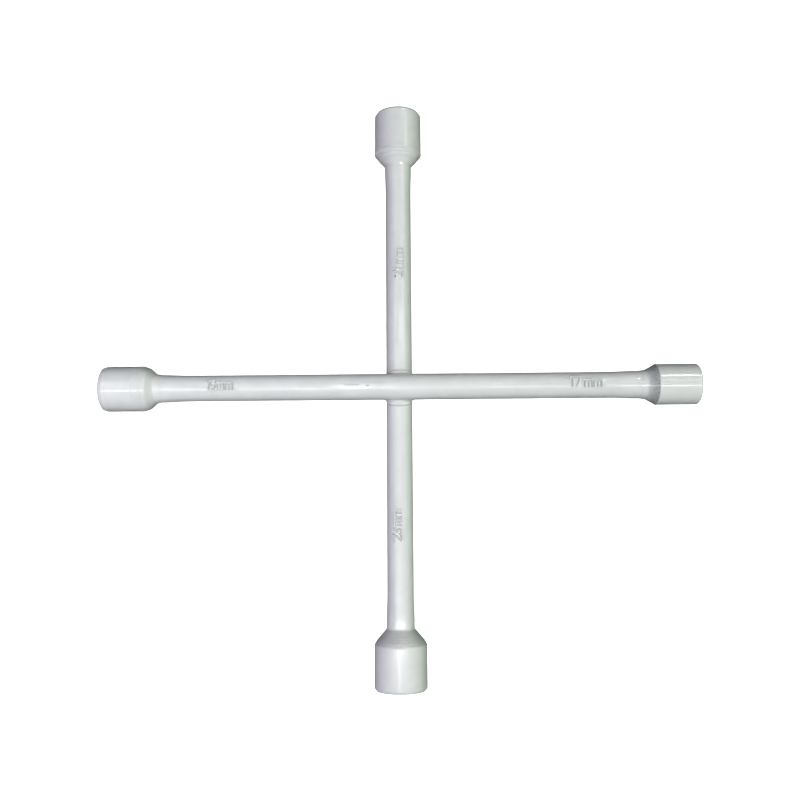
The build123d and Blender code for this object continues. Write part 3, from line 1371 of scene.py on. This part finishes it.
def socket_outlines() -> dict[int, tuple[tuple[float, float, float], ...]]:
    """Lists the corners of each socket's outside profile, from the neck to the rim's inner edge.

    Returns:
        For each size, its corners as (from rim, radius, blend), metres.
    """
    shapes = {
        17: [
            (36.2, 8.35, 8.0), (31.6, 9.2, 3.0), (26.6, 12.0, 0.3), (25.9, 12.5, 0.15), (25.5, 12.72, 0.1),
            (25.1, 12.5, 0.2), (0.9, 12.5, 0.5), (0.0, 11.8, 0.3),
        ],
        19: [
            (36.4, 8.4, 2.0), (32.5, 9.25, 2.5), (28.7, 12.75, 1.6), (25.2, 14.0, 0.5), (2.6, 13.95, 2.2),
            (0.5, 13.3, 0.8), (0.0, 12.6, 0.3),
        ],
        21: [
            (35.2, 8.4, 2.6), (31.0, 12.3, 0.3), (30.2, 12.8, 0.3), (27.5, 15.0, 0.25), (1.6, 15.0, 0.8),
            (0.0, 13.9, 0.4),
        ],
        23: [
            (36.0, 8.5, 2.5), (28.6, 15.05, 0.5), (26.7, 15.85, 0.15), (26.3, 16.05, 0.12),
            (25.8, 15.95, 0.2), (1.4, 16.0, 0.7), (0.0, 15.0, 0.4),
        ],
    }
    outlines = {}
    for size, rows in shapes.items():
        inner = (size + HEX_CLEARANCE_MM) / math.sqrt(3) + LEAD_IN_MARGIN_MM
        outlines[size] = tuple(
            (back * MM, radius * MM, blend * MM) for back, radius, blend in [*rows, (0.0, inner, 0.0)]
        )
    return outlines


def turning_lines() -> dict[int, tuple[TurningLine, ...]]:
    """Lists the fine lathe rings of each socket.

    Returns:
        For each size, its rings.
    """
    rings = {
        17: [(28.2, 0.25, -0.08), (6.0, 0.25, -0.015), (1.9, 0.25, -0.05)],
        19: [(20.1, 0.3, -0.1), (25.6, 0.3, -0.16), (26.8, 0.28, -0.12), (4.4, 0.3, -0.06)],
        21: [
            (27.2, 0.3, 0.18), (28.6, 0.3, -0.26), (30.0, 0.3, -0.26), (31.4, 0.3, 0.12),
            (32.8, 0.3, -0.16),
        ],
        23: [
            (27.6, 0.3, -0.24), (28.6, 0.3, -0.24), (29.7, 0.3, -0.2), (31.0, 0.3, -0.16),
            (32.6, 0.3, -0.1),
        ],
    }
    return {
        size: tuple(TurningLine(back * MM, width * MM, rise * MM) for back, width, rise in rows)
        for size, rows in rings.items()
    }


def main() -> None:
    """Builds the wrench and its studio, in order."""
    logging.basicConfig(level=logging.INFO, format="%(name)s: %(message)s")
    arms = {
        17: read_arm(17, Reach.EAST),
        19: read_arm(19, Reach.WEST),
        21: read_arm(21, Reach.NORTH),
        23: read_arm(23, Reach.SOUTH),
    }
    upper_height = arms[17].line.height
    lower_height = arms[21].line.height
    upper_top = upper_height + BAR_RADIUS
    lower_top = lower_height + BAR_RADIUS
    upper_scuffs = (
        Scuff((-0.0190, -0.0002, upper_top), (0.0016, 0.0006, 0.004), 0.6),
        Scuff((-0.0285, 0.0000, upper_top), (0.0070, 0.0008, 0.004), 0.5),
    )
    lower_scuffs = (Scuff((-0.0012, 0.0320, lower_top), (0.0005, 0.0060, 0.004), 0.12),)
    bars = (
        RoundBar(
            "upper_bar", arms[19], arms[17],
            (
                SizeMark("19mm", -116.8 * MM, 5.4 * MM, 1.1 * MM, gap=1.1 * MM),
                SizeMark("17 mm", 103.6 * MM, 5.8 * MM, 1.1 * MM),
            ),
            SatinEnamel("satin_enamel_upper_bar", scuffs=upper_scuffs, stamp_shade_and_dirt=0.3),
            seed=11,
            radius=8.0 * MM,
        ),
        RoundBar(
            "lower_bar", arms[23], arms[21],
            (
                SizeMark("23 mm", -93.6 * MM, 5.2 * MM, 1.9 * MM, gap=1.0 * MM),
                SizeMark("21 mm", 71.5 * MM, 5.2 * MM, 0.3 * MM),
            ),
            SatinEnamel("satin_enamel_lower_bar", scuffs=lower_scuffs, stamp_shade_and_dirt=0.3),
            seed=12,
        ),
    )
    for bar, node in zip(bars, ("bar_17_19", "bar_21_23")):
        hold(bar.build(), node)
    outlines = socket_outlines()
    rings = turning_lines()
    # painted shade with dust grains, on the flares that turn from the light
    shade_and_dust = {
        17: ShadeDustBand((1.0, 0.0, 0.0), 149.0 * MM, 154.6 * MM, 156.7 * MM, 1.0),
        23: ShadeDustBand((0.0, -1.0, 0.0), 146.4 * MM, 147.4 * MM, 155.4 * MM, 0.42),
    }
    for size, arm in arms.items():
        finish = SatinEnamel(
            f"satin_enamel_socket_{size}", grit_mm=3.5, grit_depth=0.00001, shade_and_dust=shade_and_dust.get(size)
        )
        socket = Socket(arm, outlines[size], rings[size], finish, size)
        hold(socket.build(), f"socket_{size}")
        neck = NeckWeld(arm, SatinEnamel(f"satin_enamel_neck_{size}"))
        hold(neck.build(), f"neck_weld_{size}")
        bead = CrossingWeld(
            arm, upper_height, lower_height,
            SatinEnamel(f"satin_enamel_bead_{size}", grit_mm=1.2), size + BEAD_SEEDS,
        )
        hold(bead.build(), f"crossing_weld_{size}")
    lamps = (
        SoftLamp("right_softbox", (1.2, -0.05, 1.2), (0.6, 0.6), 17.0, "#f0ffeb"),
        SoftLamp("near_softbox", (-0.35, -0.14, 0.7), (0.25, 0.25), 4.0, "#f2f0ff"),
        SoftLamp("front_softbox", (0.1, -0.8, 1.2), (0.5, 0.5), 5.6, "#f6fff6"),
        SoftLamp("left_softbox", (-0.9, 0.15, 1.2), (0.5, 0.5), 1.6, "#ecebff"),
        SoftLamp("long_strip", (0.0, -0.29, 1.0), (1.5, 0.035), 5.2, use=LampUse.SHINE),
        SoftLamp("back_strip", (0.35, 0.28, 1.0), (0.9, 0.04), 1.0, use=LampUse.SHINE),
        SoftLamp("end_strip", (0.6, 0.9, 1.0), (0.3, 0.05), 4.2, use=LampUse.SHINE),
        SoftLamp("cross_strip", (-0.1, -0.08, 1.0), (0.04, 0.6), 1.3, use=LampUse.SHINE),
        SoftLamp("left_strip", (-1.08, 0.675, 2.0), (0.1, 0.6), 4.0, use=LampUse.SHINE),
        SoftLamp("right_strip", (0.9, 0.5, 1.0), (0.12, 0.6), 2.0, use=LampUse.SHINE),
    )
    Studio(lamps, OpalAcrylic()).build()
    LOG.info("built %d bars and the sockets and welds of %d arms", len(bars), len(arms))


if __name__ == "__main__":
    main()
